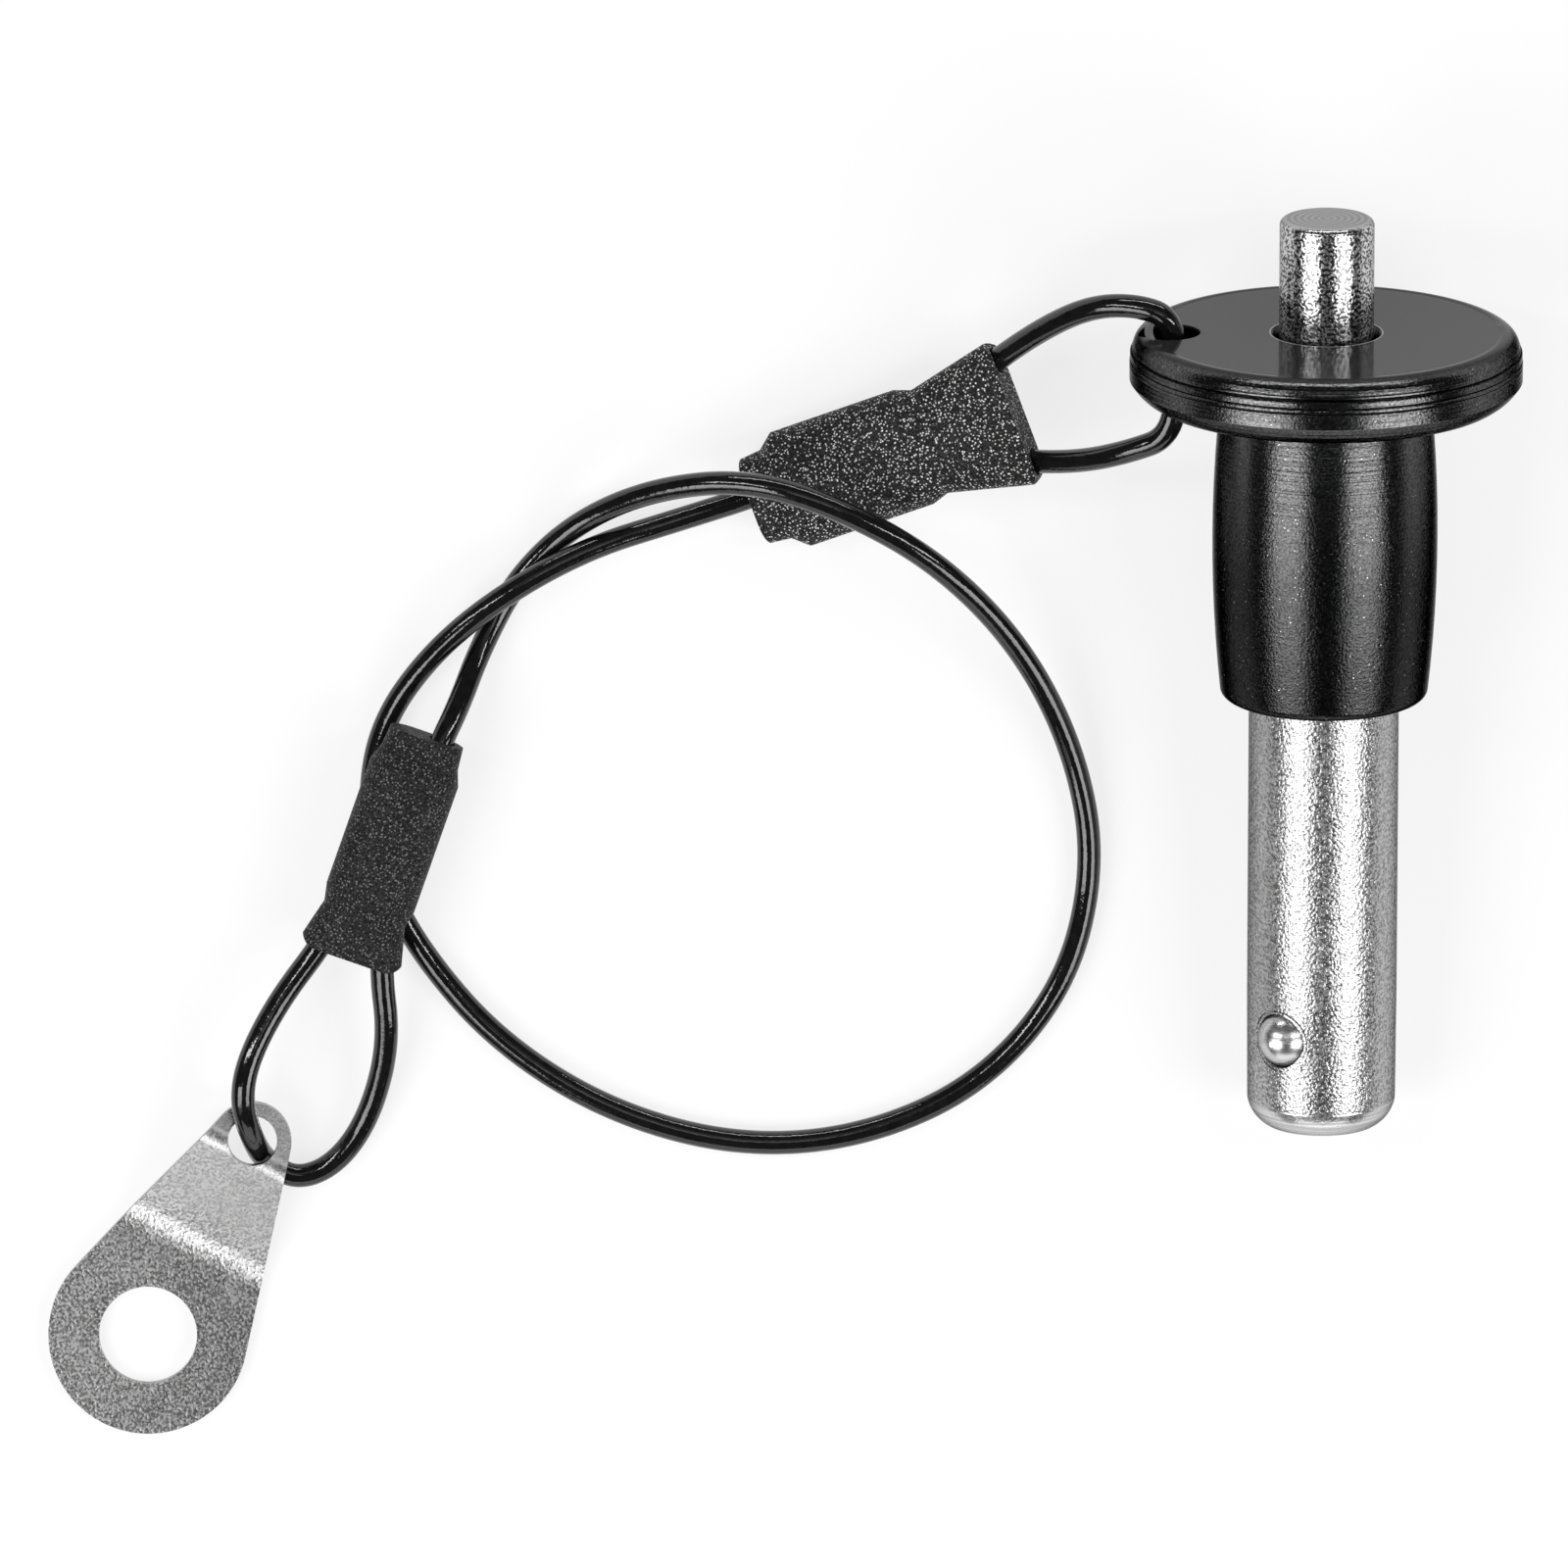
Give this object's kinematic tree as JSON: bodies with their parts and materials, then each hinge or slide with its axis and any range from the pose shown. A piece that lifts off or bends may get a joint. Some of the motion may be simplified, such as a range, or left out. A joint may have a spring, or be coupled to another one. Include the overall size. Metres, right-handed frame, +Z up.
{
  "type": "ball lock pin",
  "caption": "Quick release pin with a push button, a round flange handle, locking balls near its tip, and a coated wire lanyard with an anchor tab.",
  "frame": {"origin": "bottom centre of the box round the pin itself, lanyard and tab left out; the pin lies on its side on the rim of its flange and the end of its shank", "axes": "+Z up; +Y along the pin, from its tip to its button, which the axis climbs at 9.3 degrees; +X to the right, away from the lanyard"},
  "size_m": [0.0985, 0.0839, 0.026],
  "materials": {
    "shank_steel": "satin turned stainless steel",
    "button_steel": "satin turned stainless steel",
    "inner_steel": "ground steel",
    "ball_steel": "polished",
    "black_anodised": "black anodised, glossy",
    "cable_coat": "glossy coating",
    "shrunk_tube": "matte, fine grain",
    "crimp_metal": "pressed",
    "tab_steel": "grainy satin sheet"
  },
  "bodies": {
    "pin": {"handle": "black_anodised", "shank": "shank_steel", "return_spring": "inner_steel", "lanyard_cable": "cable_coat", "pin_end_crimp": "crimp_metal", "tab_end_crimp": "crimp_metal", "pin_end_sleeve": "shrunk_tube", "tab_end_sleeve": "shrunk_tube", "anchor_tab": "tab_steel"},
    "plunger": {"spindle": "inner_steel", "button": "button_steel"},
    "left_ball": {"ball_left": "ball_steel"},
    "right_ball": {"ball_right": "ball_steel"}
  },
  "joints": [
    {"name": "button_slide", "type": "slide", "parent": "pin", "child": "plunger", "axis": [0, -0.987, -0.1605], "range_m": [0, 0.004], "stiffness_N_per_m": 600, "springref_m": -0.002, "deforming": ["return_spring"]},
    {"name": "left_ball_slide", "type": "slide", "parent": "pin", "child": "left_ball", "axis": [0.6018, 0.1282, -0.7883], "range_m": [0, 0.001]},
    {"name": "right_ball_slide", "type": "slide", "parent": "pin", "child": "right_ball", "axis": [-0.6018, -0.1282, 0.7883], "range_m": [0, 0.001]}
  ],
  "couplings": [
    {"joint": "left_ball_slide", "follows": "button_slide", "ratio": 0.25},
    {"joint": "right_ball_slide", "follows": "button_slide", "ratio": 0.25}
  ]
}
